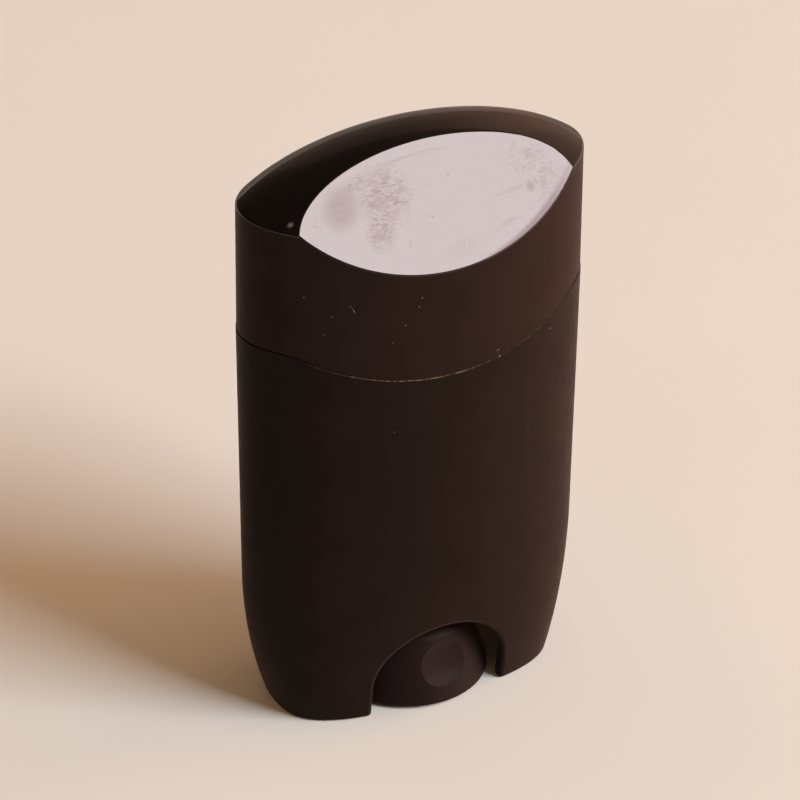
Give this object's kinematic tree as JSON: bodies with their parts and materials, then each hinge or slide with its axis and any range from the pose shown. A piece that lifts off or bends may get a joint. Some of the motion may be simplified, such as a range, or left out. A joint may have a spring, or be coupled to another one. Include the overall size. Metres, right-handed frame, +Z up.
{
  "type": "deodorant stick container",
  "caption": "Empty oval twist-up stick container: domed cap with a polished slanted facet, barrel with finger arches, thumb dial, screw spindle and lifting platform.",
  "frame": {"origin": "middle of the footprint on the table, at the bottom of the container", "axes": "+Z up along the spindle, X along the wide side, -Y the front with the slanted facet"},
  "size_m": [0.062, 0.0323, 0.1063],
  "materials": {
    "dark_shell": "fine satin moulded polypropylene, warm black-brown",
    "dark_cap": "satin skirt, polished dome and facet with fingerprints, warm black-brown",
    "dark_dial": "satin moulded polypropylene, warm black-brown",
    "natural_inner": "natural milky polypropylene"
  },
  "bodies": {
    "container": {"barrel": "dark_shell"},
    "cap": {"cap": "dark_cap"},
    "dial": {"thumb_dial": "dark_dial", "screw_spindle": "natural_inner"},
    "platform": {"platform": "natural_inner"}
  },
  "joints": [
    {"name": "dial_turn", "type": "hinge", "parent": "container", "child": "dial", "pos_m": [0, 0, 0], "axis": [0, 0, -1], "range_deg": [0, 4680]},
    {"name": "platform_lift", "type": "slide", "parent": "container", "child": "platform", "axis": [0, 0, 1], "range_m": [0, 0.052]},
    {"name": "cap_lift", "type": "slide", "parent": "container", "child": "cap", "axis": [0, 0, 1], "range_m": [0, 0.045]}
  ],
  "couplings": [
    {"joint": "dial_turn", "follows": "platform_lift", "rad_per_m": 1570.8}
  ]
}
